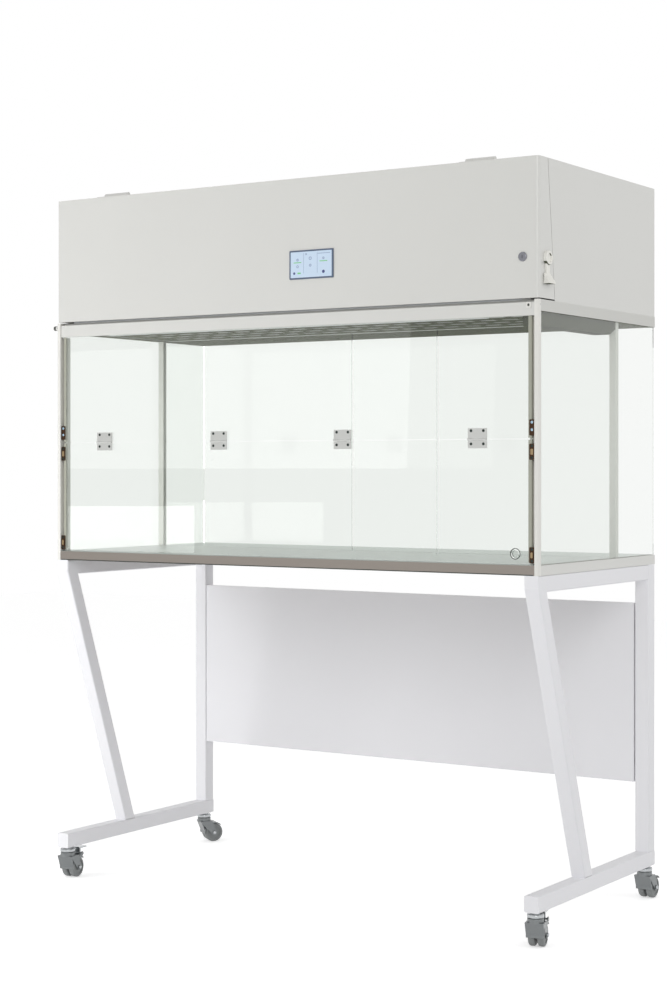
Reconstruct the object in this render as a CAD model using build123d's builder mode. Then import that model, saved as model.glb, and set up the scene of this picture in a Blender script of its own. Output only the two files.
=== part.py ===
"""Laminar flow hood on a castored stand: cabinet, folding glass window and service cover.

Millimetres. +X right, +Y to the back, +Z up, origin on the floor below the middle of the whole hood.
"""

from build123d import *
from math import cos, radians, sin
import os

os.makedirs("parts", exist_ok=True)

# Overall
width = 1500
depth = 680
stand_height = 890
base_height = 26
opening_height = 594
rail_height = 33
cover_gap = 6
cover_height = 341

# Stand
tube = 40
tube_wall = 2
tube_radius = 4
stub = 32
leg_reach = 255
panel_bottom = 311
panel_drop = 63
panel_sheet = 1.2
panel_fold = 16
panel_gap = 3
lug_height = 30

# Casters
caster_height = 88
caster_inset = 22
wheel_diameter = 56
wheel_width = 17
wheel_gap = 6
trail = 26
axle_radius = 3
head_radius = 21
head_height = 10
neck_radius = 12
neck_height = 4
stem_radius = 6
stem_length = 24
kingpin_radius = 4
fork_sheet = 2.5
hood_clear = 1
hood_start = 48
hood_sweep = 137
hub_radius = 9
pedal_length = 36
pedal_heel = 6
pedal_rise = 18
pedal_width = 30
pedal_sheet = 3
pedal_pin = 2.5

# Sheet and glass
sheet = 1.5
frame_wall = 2
glass = 6
rail_width = 40
worktop_sheet = 1.5
lip_bend = 3
rib_width = 30

# Chamber
chamber_depth = 452
post_column = 12
strip_gap = 9
strip_width = 8
strip_depth = 8
channel_width = 18
channel_depth = 16
channel_inset = 10
rear_pane_left = 675
rear_pane_right = 523
joint_gap = 1
tray_height = 28
tray_front = 20
bay_reach = 20
aperture_margin = 50

# Service cover
seam_top = 47
seam_bottom = 84
seam_gap = 2
cover_radius = 10
cover_lip = 15
cover_lift = 3
hinge_inset = 180
hinge_length = 80
hinge_knuckle = 7
hinge_pin = 2.5
hinge_leaf = 2
hinge_reach = 32
hinge_offset = 3
screen_x = 103
screen_z = 118
screen_width = 134
screen_height = 74
screen_depth = 18
bezel = 4
bezel_proud = 3
display_recess = 0.8
lock_inset = 43
lock_z = 102
lock_radius = 11.5
lock_barrel = 9.5
lock_depth = 16
lock_tongue = 38
keeper_width = 24
keeper_gap = 4
latch_y = 40
latch_z = 100
latch_arm = 62
latch_boss = 17
latch_ring = 3
latch_half = 17
latch_plate = 6
latch_pin = 4

# Window
window_axis_drop = 7
window_depth = 12
window_pin = 3
pin_reach = 16
pin_head = 6
seam_height = 300.5
pane_gap = 2
sill_gap = 3
plug_inset = 65
plug_rise = 25.5
plug_radius = 12
plug_rim = 1.5
pane_grip = 10
leaf_width = 52
leaf_sheet = 2
leaf_upper = 27
leaf_lower = 22
leaf_knuckle = 2.5
leaf_pin = 1.25
leaf_inset = 168
leaf_count = 4
catch_width = 14
catch_sheet = 2
catch_height = 38
catch_nose = 13
lever_length = 14

# Plenum
filter_height = 80
filter_wall = 12
pleat_count = 30
plenum_height = 96
fan_inset = 370
fan_radius = 150
fan_height = 118
fan_inlet = 90
fan_wall = 2
impeller_radius = 122
impeller_height = 70
blade_count = 9
blade_sheet = 2
shaft_radius = 6
blade_length = 60
blade_inset = 24
blade_bow = 9
motor_radius = 42
motor_height = 34
box_width = 320
box_clear = 29
box_height = 180
slot_count = 9
grille_columns = 20
grille_rows = 5
grille_hole_x = 42
grille_hole_y = 22
lamp_inset = 160
lamp_depth = 30
lamp_height = 10
gear_depth = 300
gear_width = 44
gear_drop = 34
gear_chamfer = 16

# Fits
play = 0.05
clear = 0.3

x_half = width / 2
y_shift = (trail + wheel_diameter / 2 - caster_inset - bezel_proud) / 2
y_front = -depth / 2 - y_shift
y_back = depth / 2 - y_shift
z_work = stand_height + base_height
z_open = z_work + opening_height
z_cover = z_open + rail_height + cover_gap
z_top = z_cover + cover_height
z_tray = z_cover - tray_height
sides = (("left", -1), ("right", 1))


def finish(piece, label):
    piece.part.label = label
    export_step(piece.part, f"parts/{label}.step")


# ---- stand ----
z_foot_top = caster_height + tube
z_stub = stand_height - stub
z_under = stand_height - tube
slope = leg_reach / (z_stub - z_foot_top)
leg_width = tube * (1 + slope**2) ** 0.5
wall_width = tube_wall * (1 + slope**2) ** 0.5
leg_back = y_back - tube
tube_x = x_half - tube / 2
bore = tube - 2 * tube_wall
inner_radius = tube_radius - tube_wall
caster_back = y_back - caster_inset
caster_front = y_front + caster_inset

for side, sx in sides:
    # slanted front leg, short upright stub and top tube, welded as one bent run
    with BuildPart() as leg:
        with BuildSketch(Plane.YZ.offset(sx * tube_x - tube / 2)):
            with BuildLine():
                Polyline(
                    (y_front, stand_height),
                    (y_front, z_stub),
                    (y_front + leg_reach, z_foot_top),
                    (y_front + leg_reach + leg_width, z_foot_top),
                    (y_front + leg_width + (z_stub - z_under) * slope, z_under),
                    (leg_back, z_under),
                    (leg_back, stand_height),
                    close=True,
                )
            make_face()
        extrude(amount=tube)
        fillet(leg.faces().filter_by(Axis.X).edges(), radius=tube_radius)
        with BuildSketch(Plane.YZ.offset(sx * tube_x - bore / 2)):
            with BuildLine():
                Polyline(
                    (y_front + tube_wall, stand_height - tube_wall),
                    (y_front + tube_wall, z_stub + (wall_width - tube_wall) / slope),
                    (y_front + leg_reach + wall_width + slope, z_foot_top - 1),
                    (y_front + leg_reach + leg_width - wall_width + slope, z_foot_top - 1),
                    (
                        y_front + leg_width - wall_width + (z_stub - z_under - tube_wall) * slope,
                        z_under + tube_wall,
                    ),
                    (leg_back + 1, z_under + tube_wall),
                    (leg_back + 1, stand_height - tube_wall),
                    close=True,
                )
            make_face()
        extrude(amount=bore, mode=Mode.SUBTRACT)
    finish(leg, f"stand_front_leg_{side}")

for side, sx in sides:
    # upright rear leg, from the foot to the underside of the cabinet
    with BuildPart() as rear_leg:
        with BuildSketch(Plane.XY.offset(z_foot_top)):
            with Locations((sx * tube_x, y_back - tube / 2)):
                RectangleRounded(tube, tube, tube_radius)
                RectangleRounded(bore, bore, inner_radius, mode=Mode.SUBTRACT)
        extrude(amount=stand_height - z_foot_top)
    finish(rear_leg, f"stand_rear_leg_{side}")

    # foot tube with end plates and a hole for each caster stem
    with BuildPart() as foot:
        with BuildSketch(Plane.XZ.offset(-y_back)):
            with Locations((sx * tube_x, caster_height + tube / 2)):
                RectangleRounded(tube, tube, tube_radius)
        extrude(amount=depth)
        with BuildSketch(Plane.XZ.offset(-y_back + tube_wall)):
            with Locations((sx * tube_x, caster_height + tube / 2)):
                RectangleRounded(bore, bore, inner_radius)
        extrude(amount=depth - 2 * tube_wall, mode=Mode.SUBTRACT)
        with BuildSketch(Plane.XY.offset(caster_height)):
            with Locations((sx * tube_x, caster_back), (sx * tube_x, caster_front)):
                Circle(stem_radius + clear)
        extrude(amount=tube_wall, mode=Mode.SUBTRACT)
    finish(foot, f"stand_foot_{side}")

# top rail between the rear legs
with BuildPart() as rear_rail:
    with BuildSketch(Plane.YZ.offset(-x_half + tube)):
        with Locations((y_back - tube / 2, stand_height - tube / 2)):
            RectangleRounded(tube, tube, tube_radius)
            RectangleRounded(bore, bore, inner_radius, mode=Mode.SUBTRACT)
    extrude(amount=width - 2 * tube)
finish(rear_rail, "stand_rear_rail")

# modesty panel: a tray of folded sheet held by two welded lugs on each side
panel_width = width - 2 * tube - 2 * panel_gap
panel_top = z_under - panel_drop
panel_height = panel_top - panel_bottom
panel_z = (panel_bottom + panel_top) / 2
with BuildPart() as panel:
    with BuildSketch(Plane.XZ.offset(-leg_back)):
        with Locations((0, panel_z)):
            RectangleRounded(panel_width, panel_height, panel_sheet)
    extrude(amount=-panel_fold)
    with BuildSketch(Plane.XZ.offset(-leg_back - panel_sheet)):
        with Locations((0, panel_z)):
            Rectangle(panel_width - 2 * panel_sheet, panel_height - 2 * panel_sheet)
    extrude(amount=-panel_fold, mode=Mode.SUBTRACT)
    with BuildSketch(Plane.XZ.offset(-leg_back - panel_fold + 3)):
        for side, sx in sides:
            for lug_z in (panel_bottom + 2 * lug_height, panel_top - 2 * lug_height):
                with Locations((sx * (panel_width + panel_gap - panel_sheet) / 2, lug_z)):
                    Rectangle(panel_gap + panel_sheet, lug_height)
    extrude(amount=-3)
finish(panel, "modesty_panel")

# ---- casters ----
casters = {
    "front_left": (-tube_x, caster_front, 98),
    "front_right": (tube_x, caster_front, 104),
    "rear_left": (-tube_x, caster_back, 55),
    "rear_right": (tube_x, caster_back, 90),
}
z_head = caster_height - neck_height
z_race = z_head - head_height
z_crown = z_race - clear
wheel_radius = wheel_diameter / 2
fork_inner = wheel_gap / 2 + wheel_width + clear
fork_outer = fork_inner + fork_sheet
z_fork = wheel_radius * 2 + 5
hood_top = (4 - head_radius, z_fork + fork_sheet)
hood_radius = wheel_radius + hood_clear
hood_foot = (trail - hood_radius - fork_sheet, wheel_radius + 6)
pedal_pin_x = trail + 15
pedal_pin_z = wheel_diameter + 7

# fixed heads: neck, ball race, threaded stem and its nut inside the foot
with BuildPart() as heads:
    for head_x, head_y, turn in casters.values():
        with BuildSketch(Plane.XY.offset(z_head)):
            with Locations((head_x, head_y)):
                Circle(neck_radius)
        extrude(amount=neck_height)
        with BuildSketch(Plane.XY.offset(z_race)):
            with Locations((head_x, head_y)):
                Circle(head_radius)
        race = extrude(amount=head_height)
        fillet(race.edges().filter_by(GeomType.CIRCLE), radius=head_height / 3)
        with BuildSketch(Plane.XY.offset(caster_height)):
            with Locations((head_x, head_y)):
                Circle(stem_radius)
        extrude(amount=stem_length)
        with BuildSketch(Plane.XY.offset(caster_height + tube_wall)):
            with Locations((head_x, head_y)):
                RegularPolygon(stem_radius * 1.7, 6)
        extrude(amount=stem_radius)
        with BuildSketch(Plane.XY.offset(z_race)):
            with Locations((head_x, head_y)):
                Circle(kingpin_radius + play)
        extrude(amount=head_height - 2, mode=Mode.SUBTRACT)
finish(heads, "caster_heads")

for name, (head_x, head_y, turn) in casters.items():
    ahead = Vector(cos(radians(turn)), sin(radians(turn)), 0)
    floor = Plane(origin=(head_x, head_y, 0), x_dir=ahead, z_dir=(0, 0, 1))
    # local frame standing on the axle direction: x ahead, y up
    across = Plane(origin=(head_x, head_y, 0), x_dir=ahead, z_dir=ahead.rotate(Axis.Z, -90))
    braked = name.startswith("front")

    with BuildPart() as fork:
        with BuildSketch(floor.offset(z_fork)):
            Circle(head_radius - 1)
        crown = extrude(amount=z_crown - z_fork)
        fillet(crown.edges().filter_by(GeomType.CIRCLE).sort_by(Axis.Z)[-1], radius=2)
        with BuildSketch(floor.offset(z_fork)):
            with Locations((2, 0)):
                Rectangle(2 * head_radius - 8, 2 * fork_outer)
        extrude(amount=fork_sheet)
        with BuildSketch(floor.offset(z_crown)):
            Circle(kingpin_radius)
        extrude(amount=head_height - 3)
        # back plate that slopes from the crown to a hood bent round both wheels
        with BuildSketch(across.offset(-fork_outer)):
            with BuildLine():
                Polyline(
                    hood_top,
                    hood_foot,
                    (hood_foot[0] + fork_sheet, hood_foot[1]),
                    (hood_top[0] + fork_sheet, hood_top[1]),
                    close=True,
                )
            make_face()
            with BuildLine():
                outer = CenterArc((trail, wheel_radius), hood_radius + fork_sheet, hood_start, hood_sweep)
                inner = CenterArc((trail, wheel_radius), hood_radius, hood_start, hood_sweep)
                Line(outer @ 0, inner @ 0)
                Line(outer @ 1, inner @ 1)
            make_face()
        extrude(amount=2 * fork_outer)
        for cheek in (-1, 1):
            # tapered cheek: the tightest outline round the crown's edge and the hub
            with BuildSketch(across.offset(cheek * (fork_inner + fork_sheet / 2) - fork_sheet / 2)):
                with Locations((trail, wheel_radius)):
                    Circle(hub_radius)
                with Locations((1, z_fork + fork_sheet / 2)):
                    Rectangle(2 * head_radius - 6, fork_sheet)
                make_hull()
            extrude(amount=fork_sheet)
            if braked:
                with BuildSketch(across.offset(cheek * (fork_inner + fork_sheet / 2) - fork_sheet / 2)):
                    with Locations((pedal_pin_x, pedal_pin_z)):
                        Circle(pedal_pin + 3)
                    with Locations((trail, wheel_radius + hood_radius - fork_sheet)):
                        Circle(hub_radius / 2)
                    make_hull()
                extrude(amount=fork_sheet)
        with BuildSketch(across.offset(-fork_outer - 2)):
            with Locations((trail, wheel_radius)):
                Circle(axle_radius)
        extrude(amount=2 * fork_outer + 4)
        for cap in (-fork_outer - 2, fork_outer):
            with BuildSketch(across.offset(cap)):
                with Locations((trail, wheel_radius)):
                    Circle(axle_radius + 2.5)
            extrude(amount=2)
        if braked:
            with BuildSketch(across.offset(-fork_outer)):
                with Locations((pedal_pin_x, pedal_pin_z)):
                    Circle(pedal_pin)
            extrude(amount=2 * fork_outer)
    finish(fork, f"caster_fork_{name}")

    for twin, sy in (("a", -1), ("b", 1)):
        near = clear / 2
        far = wheel_gap / 2 + wheel_width
        # outward frame of each twin: y up, z away from the fork's middle
        outward = Plane(across.origin, x_dir=ahead * sy, z_dir=across.z_dir * sy)
        with BuildPart() as wheel:
            with BuildSketch(outward.offset(near)):
                with Locations((sy * trail, wheel_radius)):
                    Circle(hub_radius)
            extrude(amount=wheel_gap / 2 - near)
            with BuildSketch(outward.offset(wheel_gap / 2)):
                with Locations((sy * trail, wheel_radius)):
                    Circle(wheel_radius)
            tyre = extrude(amount=wheel_width)
            fillet(tyre.edges().filter_by(GeomType.CIRCLE).group_by(SortBy.LENGTH)[-1], radius=5)
            with BuildSketch(outward.offset(far - 2)):
                with Locations((sy * trail, wheel_radius)):
                    Circle(wheel_radius - 8)
                    Circle(hub_radius, mode=Mode.SUBTRACT)
            extrude(amount=2, mode=Mode.SUBTRACT)
            with BuildSketch(outward):
                with Locations((sy * trail, wheel_radius)):
                    Circle(axle_radius + play)
            extrude(amount=far + 1, mode=Mode.SUBTRACT)
        finish(wheel, f"caster_wheel_{name}_{twin}")

    if braked:
        with BuildPart() as pedal:
            with BuildSketch(across.offset(-pedal_width / 2)):
                with Locations((pedal_pin_x, pedal_pin_z)):
                    Circle(pedal_pin + pedal_sheet)
                with BuildLine():
                    Polyline(
                        (pedal_pin_x - pedal_sheet, pedal_pin_z + pedal_pin),
                        (pedal_pin_x - pedal_sheet, pedal_pin_z + pedal_rise - pedal_sheet),
                        (pedal_pin_x - pedal_heel, pedal_pin_z + pedal_rise - pedal_sheet),
                        (pedal_pin_x - pedal_heel, pedal_pin_z + pedal_rise),
                        (pedal_pin_x + pedal_length - pedal_sheet, pedal_pin_z + pedal_rise - 2),
                        (pedal_pin_x + pedal_length, pedal_pin_z + pedal_rise - 2 * pedal_sheet),
                        (pedal_pin_x + pedal_sheet, pedal_pin_z + pedal_rise - pedal_sheet - 2),
                        (pedal_pin_x + pedal_sheet, pedal_pin_z + pedal_pin),
                        close=True,
                    )
                make_face()
                with Locations((pedal_pin_x, pedal_pin_z)):
                    Circle(pedal_pin + play, mode=Mode.SUBTRACT)
            extrude(amount=pedal_width)
        finish(pedal, f"caster_brake_{name}")

# ---- cabinet base ----
y_base = y_front + post_column
base_top = z_work - worktop_sheet
glass_x = x_half - 3 - glass
ring_depth = y_back - y_base

with BuildPart() as base:
    # channel sections, open below, with three cross ribs under the worktop
    with BuildSketch(Plane.XY.offset(stand_height)):
        with Locations((0, y_base + ring_depth / 2)):
            Rectangle(width, ring_depth)
            Rectangle(width - 2 * rail_width, ring_depth - 2 * rail_width, mode=Mode.SUBTRACT)
    extrude(amount=base_top - stand_height)
    with BuildSketch(Plane.XY.offset(stand_height)):
        with Locations((0, y_base + ring_depth / 2)):
            Rectangle(width - 2 * frame_wall, ring_depth - 2 * frame_wall)
            Rectangle(
                width - 2 * rail_width + 2 * frame_wall,
                ring_depth - 2 * rail_width + 2 * frame_wall,
                mode=Mode.SUBTRACT,
            )
    extrude(amount=base_top - stand_height - 2 * frame_wall, mode=Mode.SUBTRACT)
    with BuildSketch(Plane.XY.offset(base_top - rib_width / 2)):
        with Locations((0, y_base + ring_depth / 2)):
            with GridLocations(width / 4, 1, 3, 1):
                Rectangle(rib_width, ring_depth - 2 * rail_width + 2)
    extrude(amount=rib_width / 2)
    with BuildSketch(Plane.XY.offset(base_top - frame_wall)):
        with Locations((0, y_base + ring_depth / 2)):
            with GridLocations(2 * glass_x + glass, 1, 2, 1):
                Rectangle(glass + 2 * clear, ring_depth)
    extrude(amount=frame_wall, mode=Mode.SUBTRACT)
finish(base, "base_frame")

top_half = x_half - post_column - clear
with BuildPart() as worktop:
    # stainless sheet, its front edge folded down over the base frame
    with BuildSketch(Plane.YZ.offset(-top_half)):
        with BuildLine():
            Polyline(
                (y_back, z_work),
                (y_front, z_work),
                (y_front, stand_height),
                (y_front + worktop_sheet, stand_height),
                (y_front + worktop_sheet, base_top),
                (y_back, base_top),
                close=True,
            )
        make_face()
    extrude(amount=2 * top_half)
    fillet(
        worktop.edges().filter_by(Axis.X).filter_by_position(Axis.Z, z_work - 0.1, z_work + 0.1)
        .sort_by(Axis.Y)[0],
        radius=lip_bend,
    )
finish(worktop, "worktop")

# ---- posts, glass and canopy tray ----
axis_z = z_open + rail_height - window_axis_drop
window_y = y_front + 2 + window_depth / 2
pane_front = window_y - glass / 2
pane_rear = window_y + glass / 2
strip_x = x_half - post_column - strip_gap
pane_half = strip_x - 0.5
y_lip = pane_rear + clear
y_rear_glass = y_front + chamber_depth
z_strip = z_open - 2
y_strip = y_lip + strip_depth

for side, sx in sides:
    with BuildPart() as post:
        # corner column, and behind the window edge a groove and the lip the window closes on
        with BuildSketch(Plane.XY.offset(stand_height)):
            with Locations((sx * (x_half - post_column / 2), y_front + post_column / 2)):
                Rectangle(post_column, post_column)
        column = extrude(amount=z_cover - stand_height)
        corner = column.edges().filter_by(Axis.Z).sort_by(Axis.Y)[:2].sort_by(Axis.X)
        fillet(corner[-1] if sx > 0 else corner[0], radius=post_column / 3)
        with BuildSketch(Plane.XY.offset(z_work)):
            with BuildLine():
                Polyline(
                    (sx * (x_half - post_column), y_base - 4),
                    (sx * (x_half - post_column + 2), y_base - 4),
                    (sx * (x_half - post_column + 2), y_strip + 6),
                    (sx * (strip_x - strip_width), y_strip + 6),
                    (sx * (strip_x - strip_width), y_lip),
                    (sx * strip_x, y_lip),
                    (sx * strip_x, y_strip),
                    (sx * (x_half - post_column), y_strip),
                    close=True,
                )
            make_face()
        extrude(amount=z_strip - z_work)
        with BuildSketch(Plane.YZ.offset(sx * x_half - post_column)):
            with Locations((window_y, axis_z)):
                Circle(window_pin + play)
        extrude(amount=2 * post_column, mode=Mode.SUBTRACT)
    finish(post, f"front_post_{side}")

    with BuildPart() as side_glass:
        with BuildSketch(Plane.XY.offset(base_top - frame_wall)):
            with Locations((sx * (glass_x + glass / 2), (y_base + clear + y_back - 2) / 2)):
                Rectangle(glass, y_back - 2 - y_base - clear)
        extrude(amount=z_tray - base_top + frame_wall)
    finish(side_glass, f"side_glass_{side}")

with BuildPart() as channels:
    # upright channels that hold the ends of the rear glass
    for side, sx in sides:
        with BuildSketch(Plane.XY.offset(z_work)):
            with Locations((sx * (x_half - channel_inset - channel_width / 2), y_rear_glass + glass / 2)):
                Rectangle(channel_width, channel_depth)
            with Locations((sx * (x_half - channel_inset - channel_width / 2 - 2), y_rear_glass + glass / 2)):
                Rectangle(channel_width, glass + 2 * clear, mode=Mode.SUBTRACT)
        extrude(amount=z_tray - z_work)
finish(channels, "rear_channels")

pane_edge = x_half - channel_inset - 4
rear_joint_left = rear_pane_left - pane_edge
rear_joint_right = pane_edge - rear_pane_right
rear_panes = {
    "left": (-pane_edge, rear_joint_left - joint_gap / 2),
    "middle": (rear_joint_left + joint_gap / 2, rear_joint_right - joint_gap / 2),
    "right": (rear_joint_right + joint_gap / 2, pane_edge),
}
for side, (x_start, x_end) in rear_panes.items():
    with BuildPart() as rear_pane:
        with BuildSketch(Plane.XY.offset(z_work)):
            with Locations(((x_start + x_end) / 2, y_rear_glass + glass / 2)):
                Rectangle(x_end - x_start, glass)
        extrude(amount=z_tray - z_work)
    finish(rear_pane, f"rear_glass_{side}")

y_tray = y_front + tray_front
lock_z_abs = z_cover + lock_z
y_keeper = y_front + lock_depth - keeper_gap - frame_wall
y_mid = y_rear_glass + bay_reach
bay = (y_tray + y_mid) / 2
bay_length = y_mid - y_tray
aperture_edge = aperture_margin - rail_width + frame_wall
with BuildPart() as tray:
    # folded tray: floor, outer rim, and an upstand round the filter opening
    with BuildSketch(Plane.XY.offset(z_tray)):
        with Locations((0, (y_tray + y_back) / 2)):
            Rectangle(width, y_back - y_tray)
    extrude(amount=tray_height)
    with BuildSketch(Plane.XY.offset(z_tray + frame_wall)):
        with Locations((0, (y_tray + y_back) / 2)):
            Rectangle(width - 2 * frame_wall, y_back - y_tray - 2 * frame_wall)
    extrude(amount=tray_height, mode=Mode.SUBTRACT)
    with BuildSketch(Plane.XY.offset(z_tray)):
        for side, sx in sides:
            with Locations((sx * (x_half - (post_column - 2 * clear) / 2), (y_base + clear + y_tray) / 2)):
                Rectangle(post_column - 2 * clear, y_tray - y_base - clear)
    extrude(amount=tray_height)
    with BuildSketch(Plane.XY.offset(z_tray)):
        with Locations((0, bay)):
            Rectangle(width - 2 * rail_width, bay_length)
    extrude(amount=tray_height)
    with BuildSketch(Plane.XY.offset(z_tray + frame_wall)):
        with Locations((0, bay)):
            Rectangle(width - 2 * rail_width - 2 * frame_wall, bay_length - 2 * frame_wall)
    extrude(amount=tray_height, mode=Mode.SUBTRACT)
    with BuildSketch(Plane.XY.offset(z_tray)):
        with Locations((0, bay)):
            Rectangle(width - 2 * aperture_margin, bay_length - 2 * aperture_edge)
    extrude(amount=frame_wall, mode=Mode.SUBTRACT)
    # bent strip behind the cover, which the lock's tongue turns down behind
    with BuildSketch(Plane.YZ.offset(x_half - lock_inset - keeper_width / 2)):
        with BuildLine():
            Polyline(
                (y_tray, z_cover - tray_height / 2),
                (y_tray, z_cover + tray_height),
                (y_keeper, z_cover + 2 * tray_height),
                (y_keeper, lock_z_abs - lock_radius),
                (y_keeper + frame_wall, lock_z_abs - lock_radius),
                (y_keeper + frame_wall, z_cover + 2 * tray_height + 1),
                (y_tray + frame_wall, z_cover + tray_height + 1),
                (y_tray + frame_wall, z_cover - tray_height / 2),
                close=True,
            )
        make_face()
    extrude(amount=keeper_width)
finish(tray, "canopy_tray")

# ---- filter, plenum and fans ----
z_floor = z_tray + frame_wall
core_width = width - 2 * rail_width - 2 * frame_wall - 2 * clear
core_depth = bay_length - 2 * frame_wall - 2 * clear
grille_pitch = core_width / (grille_columns + 2)
with BuildPart() as diffuser:
    with BuildSketch(Plane.XY.offset(z_floor)):
        with Locations((0, bay)):
            Rectangle(core_width, core_depth)
            with GridLocations(grille_pitch, core_depth / (grille_rows + 1), grille_columns, grille_rows):
                Rectangle(grille_hole_x, grille_hole_y, mode=Mode.SUBTRACT)
    extrude(amount=sheet)
finish(diffuser, "ceiling_diffuser")

z_filter = z_floor + sheet
z_plenum = z_filter + filter_height
with BuildPart() as filter_frame:
    with BuildSketch(Plane.XY.offset(z_filter)):
        with Locations((0, bay)):
            Rectangle(core_width, core_depth)
            Rectangle(core_width - 2 * filter_wall, core_depth - 2 * filter_wall, mode=Mode.SUBTRACT)
    extrude(amount=filter_height)
finish(filter_frame, "filter_frame")

pleat_width = (core_width - 2 * filter_wall - 2 * clear) / pleat_count
pleat_x = [-pleat_width * pleat_count / 2 + i * pleat_width / 2 for i in range(2 * pleat_count + 1)]
media_low = [(x, z_filter + 6 + (i % 2) * 40) for i, x in enumerate(pleat_x)]
media_high = [(x, z + filter_height - 50) for x, z in media_low]
with BuildPart() as media:
    # pleated paper, filling the frame from wall to wall
    with BuildSketch(Plane.XZ.offset(-bay)):
        with BuildLine():
            Polyline(*media_low, *reversed(media_high), close=True)
        make_face()
    extrude(amount=core_depth / 2 - filter_wall - clear / 2, both=True)
finish(media, "filter_media")

z_fan = z_plenum + plenum_height
fan_spread = x_half - fan_inset
fans = ((-fan_spread, bay), (fan_spread, bay))
with BuildPart() as plenum:
    # box open towards the filter, with a fan drum over each hole
    with BuildSketch(Plane.XY.offset(z_plenum)):
        with Locations((0, bay)):
            Rectangle(core_width, core_depth)
    extrude(amount=plenum_height)
    with BuildSketch(Plane.XY.offset(z_plenum)):
        with Locations((0, bay)):
            Rectangle(core_width - 2 * sheet, core_depth - 2 * sheet)
    extrude(amount=plenum_height - sheet, mode=Mode.SUBTRACT)
    with BuildSketch(Plane.XY.offset(z_fan)):
        with Locations(*fans):
            Circle(fan_radius)
    extrude(amount=fan_height)
    with BuildSketch(Plane.XY.offset(z_fan - sheet)):
        with Locations(*fans):
            Circle(fan_radius - fan_wall)
    extrude(amount=fan_height + sheet - fan_wall, mode=Mode.SUBTRACT)
    with BuildSketch(Plane.XY.offset(z_fan)):
        with Locations(*fans):
            Circle(fan_inlet)
    extrude(amount=fan_height + 1, mode=Mode.SUBTRACT)
    with BuildSketch(Plane.XY.offset(z_fan - sheet)):
        with Locations(*fans):
            Rectangle(2 * fan_radius, 16)
            Rectangle(16, 2 * fan_radius)
            Circle(motor_radius)
    extrude(amount=4)
    with BuildSketch(Plane.XY.offset(z_fan + 1)):
        with Locations(*fans):
            Circle(motor_radius)
    extrude(amount=motor_height)
    with BuildSketch(Plane.XY.offset(z_fan + motor_height)):
        with Locations(*fans):
            Circle(shaft_radius)
    extrude(amount=fan_height - motor_height - 20)
finish(plenum, "plenum_box")

z_impeller = z_fan + 1 + motor_height + clear
with BuildSketch(mode=Mode.PRIVATE) as blade:
    # bowed strip, the same thickness from end to end
    with BuildLine():
        hollow = ThreePointArc((-blade_length / 2, 0), (0, blade_bow), (blade_length / 2, 0))
        crest = ThreePointArc(
            (-blade_length / 2, blade_sheet), (0, blade_bow + blade_sheet), (blade_length / 2, blade_sheet)
        )
        Line(hollow @ 0, crest @ 0)
        Line(hollow @ 1, crest @ 1)
    make_face()
for side, sx in sides:
    with BuildPart() as impeller:
        # back plate and hub, swept-back blades and a ring shroud round the inlet
        with BuildSketch(Plane.XY.offset(z_impeller)):
            with Locations((sx * fan_spread, bay)):
                Circle(impeller_radius)
        extrude(amount=2)
        with BuildSketch(Plane.XY.offset(z_impeller)):
            with Locations((sx * fan_spread, bay)):
                Circle(shaft_radius * 3)
        extrude(amount=24)
        with BuildSketch(Plane.XY.offset(z_impeller + 2)):
            with Locations((sx * fan_spread, bay)):
                with PolarLocations(impeller_radius - blade_inset, blade_count):
                    add(blade.sketch, rotation=42)
        extrude(amount=impeller_height - 4)
        with BuildSketch(Plane.XY.offset(z_impeller + impeller_height - 2)):
            with Locations((sx * fan_spread, bay)):
                Circle(impeller_radius)
                Circle(fan_inlet - 6, mode=Mode.SUBTRACT)
        extrude(amount=2)
        with BuildSketch(Plane.XY.offset(z_impeller)):
            with Locations((sx * fan_spread, bay)):
                Circle(shaft_radius + play)
        extrude(amount=24, mode=Mode.SUBTRACT)
    finish(impeller, f"impeller_{side}")

# control box on the floor of the rear bay
with BuildPart() as control:
    with BuildSketch(Plane.XY.offset(z_floor)):
        with Locations((fan_spread, (y_mid + y_back) / 2)):
            RectangleRounded(box_width, y_back - y_mid - 2 * box_clear, 4)
    extrude(amount=box_height)
finish(control, "control_box")

lamp_length = width - 2 * lamp_inset
with BuildPart() as lamp:
    # slim light strip under the front of the tray
    with BuildSketch(Plane.YZ.offset(-lamp_length / 2)):
        with Locations((y_tray + 2 + lamp_depth / 2, z_tray - lamp_height / 2)):
            Rectangle(lamp_depth, lamp_height)
    extrude(amount=lamp_length)
    fillet(lamp.edges().filter_by(Axis.X).group_by(Axis.Z)[0], radius=lamp_height / 3)
finish(lamp, "lamp")

gear_back = y_rear_glass + glass / 2 - channel_depth / 2 - 2
with BuildPart() as gear:
    # channel for the lamp's control gear, its lower rear corner cut off
    with BuildSketch(Plane.YZ.offset(glass_x - 2 - gear_width)):
        with BuildLine():
            Polyline(
                (y_strip + 7, z_tray),
                (y_strip + 7, z_tray - gear_drop),
                (gear_back - 2 * gear_chamfer, z_tray - gear_drop),
                (gear_back, z_tray - gear_drop + gear_chamfer),
                (gear_back, z_tray),
                close=True,
            )
        make_face()
    extrude(amount=gear_width)
finish(gear, "lamp_gear")

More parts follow.
